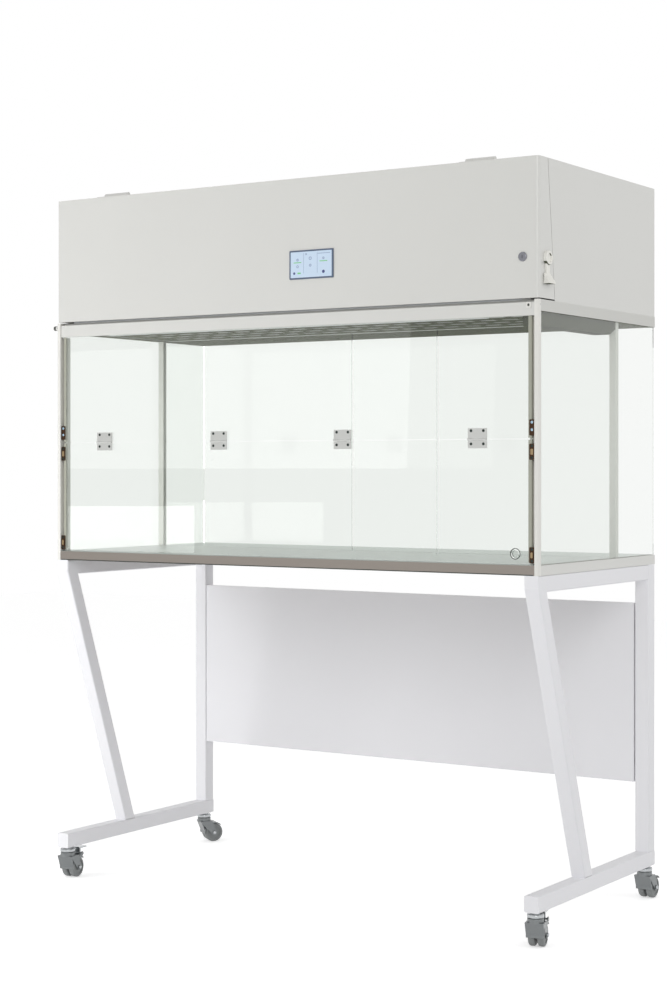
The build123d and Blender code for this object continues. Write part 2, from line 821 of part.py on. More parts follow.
# ---- housing shell and service cover ----
with BuildPart() as shell:
    # folded sheet, open to the front and below; the front edge of each side slopes
    with BuildSketch(Plane.YZ.offset(-x_half)):
        with BuildLine():
            Polyline(
                (y_front + seam_bottom + seam_gap, z_cover),
                (y_front + seam_top + seam_gap, z_top),
                (y_back, z_top),
                (y_back, z_cover),
                close=True,
            )
        make_face()
    extrude(amount=width)
    fillet(shell.edges().filter_by(Axis.Z), radius=2 * sheet)
    with BuildSketch(Plane.XY.offset(z_cover)):
        with Locations((0, (y_front + y_back) / 2)):
            Rectangle(width - 2 * sheet, depth - 2 * sheet)
    extrude(amount=cover_height - sheet, mode=Mode.SUBTRACT)
    with BuildSketch(Plane.XY.offset(z_top - sheet)):
        with Locations(*fans):
            with GridLocations(1, 2 * fan_inlet / slot_count, 1, slot_count):
                SlotOverall(2 * fan_inlet + 40, fan_inlet / slot_count)
    extrude(amount=sheet, mode=Mode.SUBTRACT)
finish(shell, "housing_shell")

y_hinge = y_front + seam_top - hinge_offset
hinge_spread = x_half - hinge_inset
z_hinge = z_top + hinge_knuckle + 1
hinge_half = hinge_length / 2
hinge_mid = hinge_length / 4
lock_x = x_half - lock_inset
z_lip = z_cover + cover_lift
latch_y_abs = y_front + latch_y
latch_z_abs = z_cover + latch_z
screen_z_abs = z_cover + screen_z

with BuildPart() as cover:
    # folded front with rounded upright corners, side flanges cut to the sloping seam
    with BuildSketch(Plane.YZ.offset(-x_half)):
        with BuildLine():
            Polyline(
                (y_front, z_lip),
                (y_front, z_top),
                (y_front + seam_top, z_top),
                (y_front + seam_bottom, z_lip),
                close=True,
            )
        make_face()
    extrude(amount=width)
    fillet(cover.edges().filter_by(Axis.Z), radius=cover_radius)
    with BuildSketch(Plane.XY.offset(z_lip + sheet)):
        with Locations((0, y_front + sheet + seam_bottom)):
            RectangleRounded(width - 2 * sheet, 2 * seam_bottom, cover_radius - sheet)
    extrude(amount=z_top - z_lip - 2 * sheet, mode=Mode.SUBTRACT)
    with BuildSketch(Plane.XY.offset(z_lip)):
        with Locations((0, y_front + cover_lip + seam_bottom)):
            Rectangle(width - 2 * sheet, 2 * seam_bottom)
    extrude(amount=sheet, mode=Mode.SUBTRACT)
    with BuildSketch(Plane.XZ.offset(-y_front - sheet)):
        with Locations((screen_x, screen_z_abs)):
            Rectangle(screen_width - 2 * bezel, screen_height - 2 * bezel)
        with Locations((lock_x, lock_z_abs)):
            Circle(lock_barrel + play)
    extrude(amount=sheet, mode=Mode.SUBTRACT)
    with BuildSketch(Plane.YZ.offset(x_half - sheet)):
        with Locations((latch_y_abs, latch_z_abs)):
            Circle(latch_pin + play)
    extrude(amount=sheet, mode=Mode.SUBTRACT)
    for side, sx in sides:
        with BuildSketch(Plane.YZ.offset(sx * hinge_spread - hinge_mid)):
            with Locations((y_hinge, z_hinge)):
                Circle(hinge_knuckle)
            with Locations(((y_front + 5 + y_hinge) / 2, z_top + hinge_leaf / 2)):
                Rectangle(y_hinge - y_front - 5, hinge_leaf)
            with Locations((y_hinge, z_hinge)):
                Circle(hinge_pin + play, mode=Mode.SUBTRACT)
        extrude(amount=2 * hinge_mid)
        for end in (-hinge_half, hinge_mid):
            with BuildSketch(Plane.YZ.offset(sx * hinge_spread + end)):
                with Locations(((y_front + 5 + y_hinge - hinge_knuckle - 1) / 2, z_top + hinge_leaf / 2)):
                    Rectangle(y_hinge - hinge_knuckle - 1 - y_front - 5, hinge_leaf)
            extrude(amount=hinge_half - hinge_mid)
finish(cover, "front_cover")

with BuildPart() as cover_hinges:
    # fixed leaf, outer knuckles and pin of both cover hinges
    for side, sx in sides:
        for end in (-hinge_half, hinge_mid + clear):
            with BuildSketch(Plane.YZ.offset(sx * hinge_spread + end)):
                with Locations((y_hinge, z_hinge)):
                    Circle(hinge_knuckle)
                with Locations((y_hinge + hinge_reach / 2, z_top + hinge_leaf / 2)):
                    Rectangle(hinge_reach, hinge_leaf)
            extrude(amount=hinge_half - hinge_mid - clear)
        with BuildSketch(Plane.XY.offset(z_top)):
            with Locations((sx * hinge_spread, y_hinge + (hinge_reach + hinge_knuckle + hinge_offset) / 2)):
                Rectangle(hinge_length, hinge_reach - hinge_knuckle - hinge_offset)
        extrude(amount=hinge_leaf)
        with BuildSketch(Plane.YZ.offset(sx * hinge_spread - hinge_half)):
            with Locations((y_hinge, z_hinge)):
                Circle(hinge_pin)
        extrude(amount=hinge_length)
finish(cover_hinges, "cover_hinges")

with BuildPart() as screen:
    with BuildSketch(Plane.XZ.offset(-y_front)):
        with Locations((screen_x, screen_z_abs)):
            RectangleRounded(screen_width, screen_height, 2)
    extrude(amount=bezel_proud)
    fillet(screen.faces().sort_by(Axis.Y)[0].edges(), radius=1)
    with BuildSketch(Plane.XZ.offset(-y_front)):
        with Locations((screen_x, screen_z_abs)):
            Rectangle(screen_width - 2 * bezel - 2 * clear, screen_height - 2 * bezel - 2 * clear)
    extrude(amount=-screen_depth)
    with BuildSketch(Plane.XZ.offset(-y_front + bezel_proud)):
        with Locations((screen_x, screen_z_abs)):
            Rectangle(screen_width - 2 * bezel, screen_height - 2 * bezel)
    extrude(amount=-display_recess, mode=Mode.SUBTRACT)
finish(screen, "touch_screen")

with BuildPart() as lock:
    # keyed barrel with a flange in front and a tongue behind, turned aside to let the cover open
    with BuildSketch(Plane.XZ.offset(-y_front)):
        with Locations((lock_x, lock_z_abs)):
            Circle(lock_radius)
    extrude(amount=bezel_proud)
    fillet(lock.faces().sort_by(Axis.Y)[0].edges(), radius=bezel_proud * 0.8)
    with BuildSketch(Plane.XZ.offset(-y_front)):
        with Locations((lock_x, lock_z_abs)):
            Circle(lock_barrel)
    extrude(amount=-lock_depth)
    with BuildSketch(Plane.XZ.offset(-y_front - lock_depth)):
        with Locations((lock_x + lock_barrel - lock_tongue / 2 - 2, lock_z_abs)):
            RectangleRounded(lock_tongue, 14, 4)
    extrude(amount=-2.5)
    with BuildSketch(Plane.XZ.offset(-y_front + bezel_proud)):
        with Locations((lock_x, lock_z_abs)):
            Rectangle(1.6, 8)
    extrude(amount=-4, mode=Mode.SUBTRACT)
finish(lock, "cam_lock")

latch_foot = latch_z_abs - latch_arm
with BuildPart() as latch:
    # lever that hangs from its pin: ring boss, waisted arm and a flared thumb tab
    with BuildSketch(Plane.YZ.offset(x_half + clear)):
        with BuildLine():
            Polyline(
                (latch_y_abs - 11, latch_z_abs),
                (latch_y_abs - 7, latch_z_abs - latch_arm * 0.55),
                (latch_y_abs - latch_half, latch_foot),
                (latch_y_abs + latch_half, latch_foot),
                (latch_y_abs + 7, latch_z_abs - latch_arm * 0.55),
                (latch_y_abs + 11, latch_z_abs),
                close=True,
            )
        make_face()
    arm = extrude(amount=latch_plate)
    fillet(arm.faces().sort_by(Axis.X)[-1].edges(), radius=latch_plate / 3)
    with BuildSketch(Plane.YZ.offset(x_half + clear)):
        with Locations((latch_y_abs, latch_z_abs)):
            Circle(latch_boss)
    boss = extrude(amount=latch_plate + latch_ring)
    fillet(boss.faces().sort_by(Axis.X)[-1].edges(), radius=latch_ring * 0.6)
    with BuildSketch(Plane.YZ.offset(x_half + clear + latch_plate)):
        with Locations((latch_y_abs, latch_z_abs)):
            Circle(latch_boss - 2 * latch_ring)
    extrude(amount=latch_ring, mode=Mode.SUBTRACT)
    with BuildSketch(Plane.XZ.offset(-latch_y_abs - latch_half)):
        with BuildLine():
            Polyline(
                (x_half + clear + 2, latch_z_abs - latch_arm * 0.6),
                (x_half + pin_reach, latch_foot + 4),
                (x_half + pin_reach, latch_foot),
                (x_half + clear + 2, latch_foot),
                close=True,
            )
        make_face()
    extrude(amount=2 * latch_half)
    with BuildSketch(Plane.YZ.offset(x_half - sheet - 2.3)):
        with Locations((latch_y_abs, latch_z_abs)):
            Circle(latch_pin)
    extrude(amount=sheet + 3)
    with BuildSketch(Plane.YZ.offset(x_half - sheet - 2.3)):
        with Locations((latch_y_abs, latch_z_abs)):
            Circle(latch_pin + 3)
    extrude(amount=2)
finish(latch, "side_latch")

# ---- folding window ----
rail_half = x_half - post_column - 0.5
z_seam = z_work + seam_height
with BuildPart() as rail:
    with BuildSketch(Plane.YZ.offset(-rail_half)):
        with Locations((window_y, z_open + rail_height / 2)):
            RectangleRounded(window_depth, rail_height, 2)
            Rectangle(window_depth - 2 * sheet, rail_height - 2 * sheet, mode=Mode.SUBTRACT)
        with Locations((window_y, z_open)):
            Rectangle(glass + 2 * clear, 4 * sheet, mode=Mode.SUBTRACT)
    extrude(amount=2 * rail_half)
    for side, sx in sides:
        # end block and pivot pin through the post: a knob outside on the left, flush on the right
        reach = pin_reach if sx < 0 else 0
        with BuildSketch(Plane.YZ.offset(sx * rail_half - (20 if sx > 0 else 0))):
            with Locations((window_y, z_open + pane_grip + 1 + (rail_height - pane_grip - 2) / 2)):
                Rectangle(window_depth - 2, rail_height - pane_grip - 2)
        extrude(amount=20)
        with BuildSketch(Plane.YZ.offset(min(sx * rail_half, sx * (x_half + reach)))):
            with Locations((window_y, axis_z)):
                Circle(window_pin)
        extrude(amount=x_half + reach - rail_half)
    with BuildSketch(Plane.YZ.offset(-x_half - pin_reach)):
        with Locations((window_y, axis_z)):
            Circle(pin_head)
    extrude(amount=pin_reach - 1)
finish(rail, "window_rail")

with BuildPart() as upper_pane:
    with BuildSketch(Plane.XZ.offset(-pane_rear)):
        with Locations((0, (z_seam + pane_gap / 2 + z_open + pane_grip) / 2)):
            Rectangle(2 * pane_half, z_open + pane_grip - z_seam - pane_gap / 2)
    extrude(amount=glass)
finish(upper_pane, "upper_pane")

with BuildPart() as lower_pane:
    with BuildSketch(Plane.XZ.offset(-pane_rear)):
        with Locations((0, (z_work + sill_gap + z_seam - pane_gap / 2) / 2)):
            Rectangle(2 * pane_half, z_seam - pane_gap / 2 - z_work - sill_gap)
        with Locations((x_half - plug_inset, z_work + plug_rise)):
            Circle(plug_radius, mode=Mode.SUBTRACT)
    extrude(amount=glass)
finish(lower_pane, "lower_pane")

with BuildPart() as plug:
    # clear stopper in the round port of the lower pane
    with BuildSketch(Plane.XZ.offset(-pane_rear)):
        with Locations((x_half - plug_inset, z_work + plug_rise)):
            Circle(plug_radius - clear)
    extrude(amount=glass)
    with BuildSketch(Plane.XZ.offset(-pane_front)):
        with Locations((x_half - plug_inset, z_work + plug_rise)):
            Circle(plug_radius + plug_rim)
    extrude(amount=plug_rim)
    with BuildSketch(Plane.XZ.offset(-pane_front - plug_rim)):
        with Locations((x_half - plug_inset, z_work + plug_rise)):
            Circle(plug_radius - 2 * plug_rim)
    extrude(amount=-glass, mode=Mode.SUBTRACT)
finish(plug, "pane_plug")

fold_y = pane_front - leaf_knuckle
leaf_pitch = (width - 2 * leaf_inset) / (leaf_count - 1)
leaf_x = [(i - (leaf_count - 1) / 2) * leaf_pitch for i in range(leaf_count)]
quarter = leaf_width / 4
with BuildPart() as upper_leaves:
    for x in leaf_x:
        with BuildSketch(Plane.XZ.offset(-pane_front)):
            with Locations((x, z_seam + (leaf_upper + 3) / 2)):
                Rectangle(leaf_width, leaf_upper - 3)
            with Locations((x - 1.5 * quarter, z_seam + 2), (x + 1.5 * quarter, z_seam + 2)):
                Rectangle(quarter, 4)
        extrude(amount=leaf_sheet)
        for start in (x - 2 * quarter, x + quarter):
            with BuildSketch(Plane.YZ.offset(start)):
                with Locations((fold_y, z_seam)):
                    Circle(leaf_knuckle)
            extrude(amount=quarter)
        with BuildSketch(Plane.YZ.offset(x - 2 * quarter)):
            with Locations((fold_y, z_seam)):
                Circle(leaf_pin)
        extrude(amount=leaf_width)
finish(upper_leaves, "hinge_leaves_upper")

with BuildPart() as lower_leaves:
    for x in leaf_x:
        with BuildSketch(Plane.XZ.offset(-pane_front)):
            with Locations((x, z_seam - (leaf_lower + 3) / 2)):
                Rectangle(leaf_width, leaf_lower - 3)
            with Locations((x, z_seam - 2)):
                Rectangle(2 * quarter - 2 * clear, 4)
        extrude(amount=leaf_sheet)
        with BuildSketch(Plane.YZ.offset(x - quarter + clear)):
            with Locations((fold_y, z_seam)):
                Circle(leaf_knuckle)
        extrude(amount=2 * quarter - 2 * clear)
        with BuildSketch(Plane.YZ.offset(x - quarter)):
            with Locations((fold_y, z_seam)):
                Circle(leaf_pin + play)
        extrude(amount=2 * quarter, mode=Mode.SUBTRACT)
finish(lower_leaves, "hinge_leaves_lower")

catch_x = x_half - post_column - 1 - catch_width / 2
nose_x = x_half - post_column - strip_gap / 2
catch_rows = {
    "upper": (z_seam + 8 + catch_height / 2,),
    "lower": (z_seam - 12 - catch_height / 2, z_work + sill_gap + 1 + catch_height / 2),
}
for row, heights in catch_rows.items():
    with BuildPart() as catches:
        # plate on the edge of the glass, with a nose that enters the groove of the post
        for side, sx in sides:
            for height in heights:
                with BuildSketch(Plane.XZ.offset(-pane_front)):
                    with Locations((sx * catch_x, height)):
                        RectangleRounded(catch_width, catch_height, 2)
                extrude(amount=catch_sheet)
                with BuildSketch(Plane.XZ.offset(-pane_front)):
                    with Locations((sx * nose_x, height)):
                        Rectangle(strip_gap - 4, 12)
                extrude(amount=-catch_nose)
        if row == "lower":
            with BuildSketch(Plane.XZ.offset(-pane_front)):
                with Locations(*[(sx * catch_x, heights[-1]) for side, sx in sides]):
                    Circle(1.5 + play)
            extrude(amount=catch_sheet, mode=Mode.SUBTRACT)
    finish(catches, f"catches_{row}")

for side, sx in sides:
    with BuildPart() as lever:
        # turn button on the lowest catch
        with BuildSketch(Plane.XZ.offset(-pane_front + catch_sheet + 0.2)):
            with Locations((sx * catch_x, catch_rows["lower"][-1])):
                SlotOverall(lever_length, 6, rotation=90)
        extrude(amount=2)
        with BuildSketch(Plane.XZ.offset(-pane_front)):
            with Locations((sx * catch_x, catch_rows["lower"][-1])):
                Circle(1.5)
        extrude(amount=catch_sheet + 1)
    finish(lever, f"catch_lever_{side}")
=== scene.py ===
from math import cos, radians, sin

import bmesh
import bpy
import numpy as np
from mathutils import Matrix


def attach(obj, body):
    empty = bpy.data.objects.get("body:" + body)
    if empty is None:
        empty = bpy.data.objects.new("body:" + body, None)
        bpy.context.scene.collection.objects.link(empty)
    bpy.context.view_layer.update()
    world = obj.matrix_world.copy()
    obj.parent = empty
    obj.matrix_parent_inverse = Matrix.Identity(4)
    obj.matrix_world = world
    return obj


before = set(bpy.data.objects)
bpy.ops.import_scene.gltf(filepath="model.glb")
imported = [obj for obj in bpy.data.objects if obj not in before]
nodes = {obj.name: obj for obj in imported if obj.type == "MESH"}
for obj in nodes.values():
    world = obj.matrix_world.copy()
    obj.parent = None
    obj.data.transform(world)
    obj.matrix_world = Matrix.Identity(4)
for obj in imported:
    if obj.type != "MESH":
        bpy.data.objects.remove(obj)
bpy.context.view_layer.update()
print("frame loaded:", len(nodes), "nodes")

mm = 0.001
mergeDistance = 1e-6
sharpAngle = 32


def linear(hexColour):
    # sRGB hex to linear RGB: divide by 12.92 below the knee, a 2.4 power curve above it
    srgb = np.array([int(hexColour[i:i + 2], 16) for i in (0, 2, 4)]) / 255
    return tuple(np.where(srgb <= 0.04045, srgb / 12.92, ((srgb + 0.055) / 1.055) ** 2.4)) + (1.0,)


def addNode(tree, kind, settings=None, **links):
    # one node, its own settings, and its inputs as numbers or as sockets of other nodes
    node = tree.nodes.new(kind)
    for key, value in (settings or {}).items():
        setattr(node, key, value)
    for key, value in links.items():
        numbered = key[0] == "i" and key[1:].isdigit()
        socket = node.inputs[int(key[1:]) if numbered else key.replace("_", " ")]
        if isinstance(value, bpy.types.NodeSocket):
            tree.links.new(value, socket)
        else:
            socket.default_value = value
    return node


def startMaterial(name, viewColour):
    material = bpy.data.materials.new(name)
    material.use_nodes = True
    material.diffuse_color = linear(viewColour)
    tree = material.node_tree
    shader = tree.nodes["Principled BSDF"]
    place = addNode(tree, "ShaderNodeTexCoord").outputs["Object"]
    return material, tree, shader, place


def shaded(tree, colour, texture, amount):
    # the colour multiplied by part of a grey texture
    tone = addNode(tree, "ShaderNodeMixRGB", {"blend_type": "MULTIPLY"}, Fac=amount, Color1=linear(colour))
    tree.links.new(texture.outputs["Fac"], tone.inputs["Color2"])
    return tone


def bumped(tree, shader, texture, strength, distance):
    # a texture's height tilts the shading normal
    bump = addNode(tree, "ShaderNodeBump", Strength=strength, Distance=distance, Height=texture.outputs["Fac"])
    tree.links.new(bump.outputs[0], shader.inputs["Normal"])


def anyRay(tree, *kinds):
    # 1 for a ray of any of the kinds: the greatest of their flags
    path = addNode(tree, "ShaderNodeLightPath")
    seen = path.outputs[kinds[0]]
    for kind in kinds[1:]:
        greater = addNode(tree, "ShaderNodeMath", {"operation": "MAXIMUM"}, i0=seen, i1=path.outputs[kind])
        seen = greater.outputs[0]
    return seen


def fromGrid(name, points, wrapU=False, wrapV=False, capEnds=False):
    # a grid of points [u, v] becomes quads between neighbours
    # wrapping joins the last row or column to the first
    countU, countV = points.shape[:2]
    index = np.arange(countU * countV).reshape(countU, countV)
    rows = np.vstack([index, index[:1]]) if wrapU else index
    rows = np.hstack([rows, rows[:, :1]]) if wrapV else rows
    quads = np.stack([rows[:-1, :-1], rows[1:, :-1], rows[1:, 1:], rows[:-1, 1:]], axis=-1)
    faces = quads.reshape(-1, 4).tolist()
    if capEnds:
        faces += [index[0].tolist(), index[-1][::-1].tolist()]
    mesh = bpy.data.meshes.new(name)
    mesh.from_pydata(points.reshape(-1, 3).tolist(), [], faces)
    mesh.update()
    return mesh


def addPiece(name, meshes, material, body, smooth=True):
    # several meshes become one object with one material, riding on a body
    joined = bmesh.new()
    for mesh in meshes:
        joined.from_mesh(mesh)
        bpy.data.meshes.remove(mesh)
    bmesh.ops.remove_doubles(joined, verts=joined.verts, dist=mergeDistance)
    bmesh.ops.recalc_face_normals(joined, faces=joined.faces)
    mesh = bpy.data.meshes.new(name)
    joined.to_mesh(mesh)
    joined.free()
    mesh.materials.append(material)
    if smooth:
        mesh.shade_smooth()
        mesh.set_sharp_from_angle(angle=radians(sharpAngle))
    piece = bpy.data.objects.new(name, mesh)
    bpy.context.collection.objects.link(piece)
    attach(piece, body)
    return piece


def turned(name, profile, centre, axis, side, steps=20):
    # a profile of (radius, height) pairs is carried round the axis:
    # centre + height*axis + radius*(cos, sin)
    axis, side = np.array(axis, float), np.array(side, float)
    third = np.cross(axis, side)
    profile = np.array(profile, float)
    angle = np.linspace(0, 2 * np.pi, steps, endpoint=False)
    around = np.cos(angle)[:, None] * side + np.sin(angle)[:, None] * third
    points = np.array(centre) + profile[:, None, 1:2] * axis + profile[:, None, 0:1] * around[None]
    return fromGrid(name, points, wrapV=True)


def plate(name, outline, thickness, normal):
    # a flat outline gets a back copy pushed along the normal, with walls between
    outline = np.array(outline, float)
    both = np.stack([outline, outline + np.array(normal) * thickness])
    return fromGrid(name, both, wrapV=True, capEnds=True)


def roundedOutline(centre, across, up, width, height, radius, steps=5):
    # corners are quarter circles set in from a rectangle's corners
    angle = np.linspace(0, np.pi / 2, steps)
    quarter = np.stack([np.cos(angle), np.sin(angle)], axis=1) * radius
    turns = [np.array([[cos(a), -sin(a)], [sin(a), cos(a)]]) for a in (0, np.pi / 2, np.pi, 3 * np.pi / 2)]
    corners = [(1, 1), (-1, 1), (-1, -1), (1, -1)]
    inset = (width / 2 - radius, height / 2 - radius)
    flat = np.vstack([quarter @ t.T + np.array(c) * inset for t, c in zip(turns, corners)])
    return np.array(centre) + flat[:, :1] * np.array(across) + flat[:, 1:] * np.array(up)


# the two darkest colours here are painted shade for downward and shadowed faces; the latch's pale grey is a
# painted highlight
powderCoat = {
    "grey": "d6d6d2", "post": "e4e3de", "white": "ececef", "ceilingShade": "6d705f", "shade": "5c5f52",
    "latch": "efeee8", "roughness": 0.4, "specular": 0.35, "gloss": 0.7, "coatRoughness": 0.18,
    "peelMm": 1.6, "peelDepthMm": 0.02, "peelStrength": 0.12, "cloudScale": 3.0, "cloudAmount": 0.04,
}
facingLimit = 0.5  # a face counts as facing a direction above this dot product


def facingMask(tree, direction):
    # 1 where the surface faces a direction, 0 elsewhere: the normal's dot product with it, over a threshold
    normal = addNode(tree, "ShaderNodeTexCoord").outputs["Normal"]
    facing = addNode(tree, "ShaderNodeVectorMath", {"operation": "DOT_PRODUCT"}, i0=normal, i1=direction)
    mask = addNode(tree, "ShaderNodeMath", {"operation": "GREATER_THAN"}, i1=facingLimit)
    tree.links.new(facing.outputs["Value"], mask.inputs[0])
    return mask.outputs[0]


def powderCoatedSteel(name, colour, undersideShade=None, gloss=0.0):
    # polyester powder baked on steel: a soft sheen over a faint orange peel, tone almost even
    material, tree, shader, place = startMaterial(name, colour)
    cloud = addNode(tree, "ShaderNodeTexNoise", Vector=place, Scale=powderCoat["cloudScale"], Detail=2.0)
    tone = shaded(tree, colour, cloud, powderCoat["cloudAmount"])
    top = tone
    if undersideShade:  # painted shade: the unlit downward faces of the ceiling sheet, latch and lamp gear take a darker colour for the shadow they sit in
        top = addNode(tree, "ShaderNodeMixRGB", Fac=facingMask(tree, (0, 0, -1)), Color1=tone.outputs[0],
                      Color2=linear(undersideShade))
    tree.links.new(top.outputs[0], shader.inputs["Base Color"])
    peel = addNode(tree, "ShaderNodeTexNoise", Vector=place, Scale=1000 / powderCoat["peelMm"], Detail=1.0)
    bumped(tree, shader, peel, powderCoat["peelStrength"], powderCoat["peelDepthMm"] * mm)
    shader.inputs["Roughness"].default_value = powderCoat["roughness"]
    shader.inputs["Specular IOR Level"].default_value = 0.0 if undersideShade else powderCoat["specular"]
    shader.inputs["Coat Weight"].default_value = gloss
    shader.inputs["Coat Roughness"].default_value = powderCoat["coatRoughness"]
    return material


# the top colour is a painted reflection of the glass in the worktop's upper face
steel = {
    "lip": "979089", "top": "b9c0bb", "hinge": "cccdca", "aluminium": "c9cbcd",
    "grainMm": 0.6, "grainLengthMm": 60, "grainAmount": 0.12,
    "roughness": 0.34, "smoother": 0.06, "rougher": 0.08,
}


def brushedStainless(name, colour, along=0, top=None):
    # rolled and brushed 304 sheet: fine scratches in one direction stretch every reflection across them
    material, tree, shader, place = startMaterial(name, colour)
    scale = [1000 / steel["grainMm"]] * 3
    scale[along] = 1000 / steel["grainLengthMm"]
    stretch = addNode(tree, "ShaderNodeMapping", Vector=place, Scale=scale)
    grain = addNode(tree, "ShaderNodeTexNoise", Vector=stretch.outputs[0], Scale=1.0, Detail=3.0)
    ramp = addNode(tree, "ShaderNodeMapRange", Value=grain.outputs["Fac"], From_Min=0.3, From_Max=0.7,
                   To_Min=steel["roughness"] - steel["smoother"], To_Max=steel["roughness"] + steel["rougher"])
    tree.links.new(ramp.outputs[0], shader.inputs["Roughness"])
    tone = shaded(tree, colour, grain, steel["grainAmount"])
    if top:  # painted reflection: the worktop's upward faces take a pale green-grey for the glass they mirror, the folded edge shows bare metal
        tone = addNode(tree, "ShaderNodeMixRGB", Fac=facingMask(tree, (0, 0, 1)), Color1=tone.outputs[0],
                       Color2=linear(top))
    tree.links.new(tone.outputs[0], shader.inputs["Base Color"])
    shader.inputs["Metallic"].default_value = 1.0
    return material


# colour and roughness of each plating, and the waviness that all share
plating = {
    "chrome": ("b4b7b9", 0.14), "fork": ("7d8081", 0.3), "lock": ("85868c", 0.12), "bronze": ("4a382c", 0.38),
    "glintBrass": ("a08b6c", 0.34), "blackOxide": ("3c4340", 0.4), "blueZinc": ("a9c3d4", 0.2),
}
waviness = {"scale": 90.0, "strength": 0.1, "depth": 0.0002, "smoother": 0.03, "rougher": 0.06}


def chromePlate(name, finish):
    # bright plating on pressed steel: mirror-like, with faint waviness of the pressing below
    colour, roughness = plating[finish]
    material, tree, shader, place = startMaterial(name, colour)
    wave = addNode(tree, "ShaderNodeTexNoise", Vector=place, Scale=waviness["scale"], Detail=0.0)
    bumped(tree, shader, wave, waviness["strength"], waviness["depth"])
    smear = addNode(tree, "ShaderNodeMapRange", Value=wave.outputs["Fac"],
                    To_Min=roughness - waviness["smoother"], To_Max=roughness + waviness["rougher"])
    tree.links.new(smear.outputs[0], shader.inputs["Roughness"])
    shader.inputs["Base Color"].default_value = linear(colour)
    shader.inputs["Metallic"].default_value = 1.0
    return material


moulding = {"grainMm": 0.8, "strength": 0.2, "depth": 0.00005, "grainAmount": 0.1}


def mouldedPlastic(name, colour, roughness):
    # injection-moulded plastic or rubber: matt, with the fine spark-eroded grain of the mould
    material, tree, shader, place = startMaterial(name, colour)
    grain = addNode(tree, "ShaderNodeTexNoise", Vector=place, Scale=1000 / moulding["grainMm"], Detail=2.0)
    bumped(tree, shader, grain, moulding["strength"], moulding["depth"])
    tone = shaded(tree, colour, grain, moulding["grainAmount"])
    tree.links.new(tone.outputs[0], shader.inputs["Base Color"])
    shader.inputs["Roughness"].default_value = roughness
    return material


glassLook = {"tint": "f5f7f5", "edge": "a9bfb0", "front": 1.42, "rear": 1.2, "viewAlpha": 0.25,
             "streakScale": 40.0, "streakAmount": 0.15}


def floatGlass(name, thinAxis, ior):
    # toughened float glass: clear through its faces, green where the cut edge shows its iron
    material, tree, shader, place = startMaterial(name, glassLook["tint"])
    material.diffuse_color = (*linear(glassLook["tint"])[:3], glassLook["viewAlpha"])
    shader.inputs["Roughness"].default_value = 0.0
    shader.inputs["IOR"].default_value = ior
    shader.inputs["Transmission Weight"].default_value = 1.0
    normal = addNode(tree, "ShaderNodeTexCoord").outputs["Normal"]
    parts = addNode(tree, "ShaderNodeSeparateXYZ", Vector=normal)
    facing = addNode(tree, "ShaderNodeMath", {"operation": "ABSOLUTE"}, i0=parts.outputs[thinAxis])
    onFace = addNode(tree, "ShaderNodeMath", {"operation": "GREATER_THAN"}, i0=facing.outputs[0],
                     i1=facingLimit)
    streak = addNode(tree, "ShaderNodeTexNoise", Vector=place, Scale=glassLook["streakScale"])
    edge = addNode(tree, "ShaderNodeMixRGB", {"blend_type": "MULTIPLY"}, Fac=glassLook["streakAmount"],
                   Color1=linear(glassLook["edge"]), Color2=streak.outputs["Color"])
    colour = addNode(tree, "ShaderNodeMixRGB", Fac=onFace.outputs[0], Color1=edge.outputs[0],
                     Color2=linear(glassLook["tint"]))
    tree.links.new(colour.outputs[0], shader.inputs["Base Color"])
    clear = addNode(tree, "ShaderNodeBsdfTransparent", Color=linear(glassLook["tint"]))
    # shadows and bounced light pass straight through
    mix = addNode(tree, "ShaderNodeMixShader", Fac=anyRay(tree, "Is Shadow Ray", "Is Diffuse Ray"))
    tree.links.new(shader.outputs[0], mix.inputs[1])
    tree.links.new(clear.outputs[0], mix.inputs[2])
    tree.links.new(mix.outputs[0], tree.nodes["Material Output"].inputs[0])
    return material


paper = {"colour": "efefe8", "fibreScale": 900.0, "fibreAmount": 0.15, "roughness": 0.9}


def pleatedPaper(name, colour):
    # glass-fibre filter paper: a soft felted white with fine fibres
    material, tree, shader, place = startMaterial(name, colour)
    fibre = addNode(tree, "ShaderNodeTexNoise", Vector=place, Scale=paper["fibreScale"], Detail=4.0)
    tone = addNode(tree, "ShaderNodeMixRGB", {"blend_type": "MULTIPLY"}, Fac=paper["fibreAmount"],
                   Color1=linear(colour), Color2=fibre.outputs["Color"])
    tree.links.new(tone.outputs[0], shader.inputs["Base Color"])
    shader.inputs["Roughness"].default_value = paper["roughness"]
    return material


greyCoat = powderCoatedSteel("powderCoatGrey", powderCoat["grey"], gloss=powderCoat["gloss"])
whiteCoat = powderCoatedSteel("powderCoatWhite", powderCoat["white"])
postCoat = powderCoatedSteel("powderCoatPale", powderCoat["post"])
# painted shade: the ceiling sheet's downward faces are drawn dark for the shadow under it
ceilingPaintedShade = powderCoatedSteel("powderCoatCeilingPaintedShade", powderCoat["grey"], powderCoat["ceilingShade"])
# painted light: the latch is the housing's grey paint, drawn paler for a highlight on its raised body and dark
# on its downward faces for the shadow under its tab
latchPaintedLight = powderCoatedSteel("powderCoatLatchPaintedLight", powderCoat["latch"], powderCoat["shade"])
# painted shade: the lamp gear is drawn in the dark shade colour all over, for the shadow it sits in under the
# ceiling
gearPaintedShade = powderCoatedSteel("powderCoatGearPaintedShade", powderCoat["shade"], powderCoat["shade"])
# painted reflection: the worktop's upper face is tinted pale green-grey for the glass above it
sheetSteel = brushedStainless("brushedStainlessSheet", steel["lip"], top=steel["top"])
hingeSteel = brushedStainless("brushedStainlessHinge", steel["hinge"])
brightChrome = chromePlate("chromePlatedSteel", "chrome")
forkNickel = chromePlate("nickelPlatedSteel", "fork")
lockChrome = chromePlate("chromePlatedZinc", "lock")
bronze = chromePlate("bronzedZinc", "bronze")
